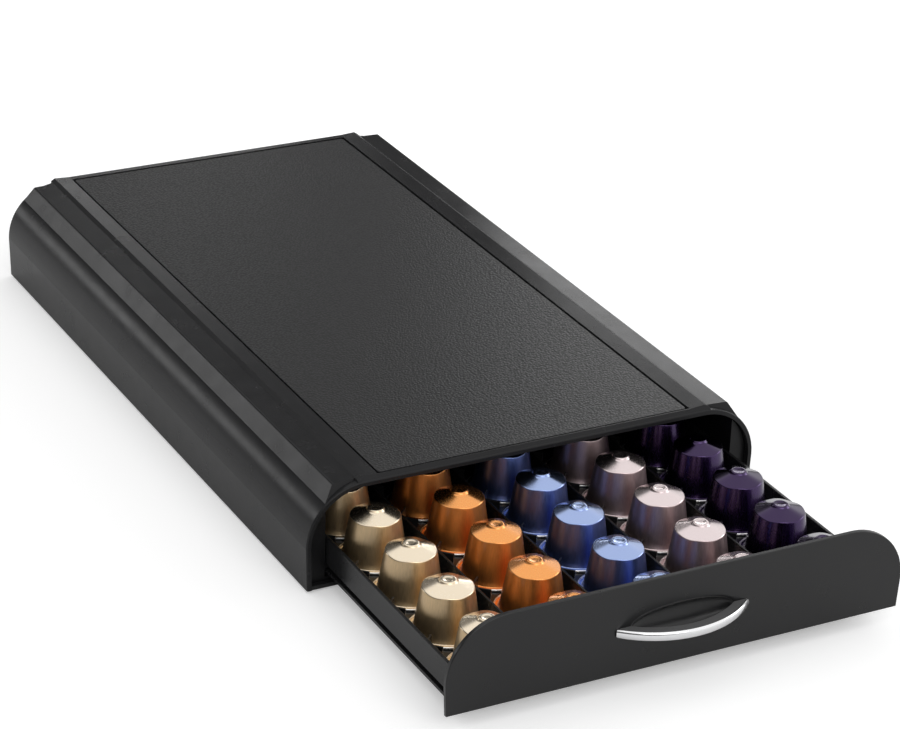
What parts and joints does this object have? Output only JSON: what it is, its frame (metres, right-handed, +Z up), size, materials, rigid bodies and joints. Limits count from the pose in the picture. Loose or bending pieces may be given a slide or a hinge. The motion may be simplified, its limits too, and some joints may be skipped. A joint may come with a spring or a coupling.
{
  "type": "coffee capsule drawer",
  "caption": "Low capsule storage drawer: an arched housing with a mat on top for a machine, and one sliding tray whose divided lanes hold standing coffee capsules behind a bowed handle.",
  "frame": {"origin": "middle of the footprint of the whole object, drawer open as in the picture, on the surface it stands on", "axes": "+Z up, +X to the right seen from the front, +Y towards the back; the drawer opens along -Y"},
  "size_m": [0.2484, 0.5534, 0.0561],
  "materials": {
    "shell_plastic": "satin black moulded plastic",
    "mat_grain": "leather-grained black",
    "front_plastic": "semi-gloss black",
    "tray_plastic": "satin black moulded plastic",
    "base_plastic": "matte black",
    "glide_plastic": "natural low-friction plastic",
    "foot_rubber": "matte",
    "handle_chrome": "polished",
    "screw_steel": "zinc plated",
    "capsule_foil": "bright foil",
    "capsule_gold": "brushed and tinted",
    "capsule_orange": "brushed and tinted",
    "capsule_blue": "brushed and tinted",
    "capsule_brown": "brushed and tinted",
    "capsule_purple": "brushed and tinted"
  },
  "bodies": {
    "housing": {"housing_shell": "shell_plastic", "top_mat": "mat_grain", "rear_panel": "base_plastic", "rear_screws": "screw_steel", "base_plate": "base_plastic", "base_screws": "screw_steel", "rubber_feet": "foot_rubber", "right_runner": "tray_plastic", "left_runner": "tray_plastic", "runner_screws": "screw_steel"},
    "drawer": {"drawer_tray": "tray_plastic", "lane_dividers": "tray_plastic", "tray_glides": "glide_plastic", "drawer_front": "front_plastic", "front_screws": "screw_steel", "handle_grip": "front_plastic", "handle_trim": "handle_chrome", "handle_screws": "screw_steel", "capsule_lids": "capsule_foil", "capsule_cups_gold": "capsule_gold", "capsule_cups_orange": "capsule_orange", "capsule_cups_blue": "capsule_blue", "capsule_cups_brown": "capsule_brown", "capsule_cups_purple": "capsule_purple"}
  },
  "joints": [
    {"name": "drawer_slide", "type": "slide", "parent": "housing", "child": "drawer", "axis": [0, -1, 0], "range_m": [-0.1331, 0.1499]}
  ]
}
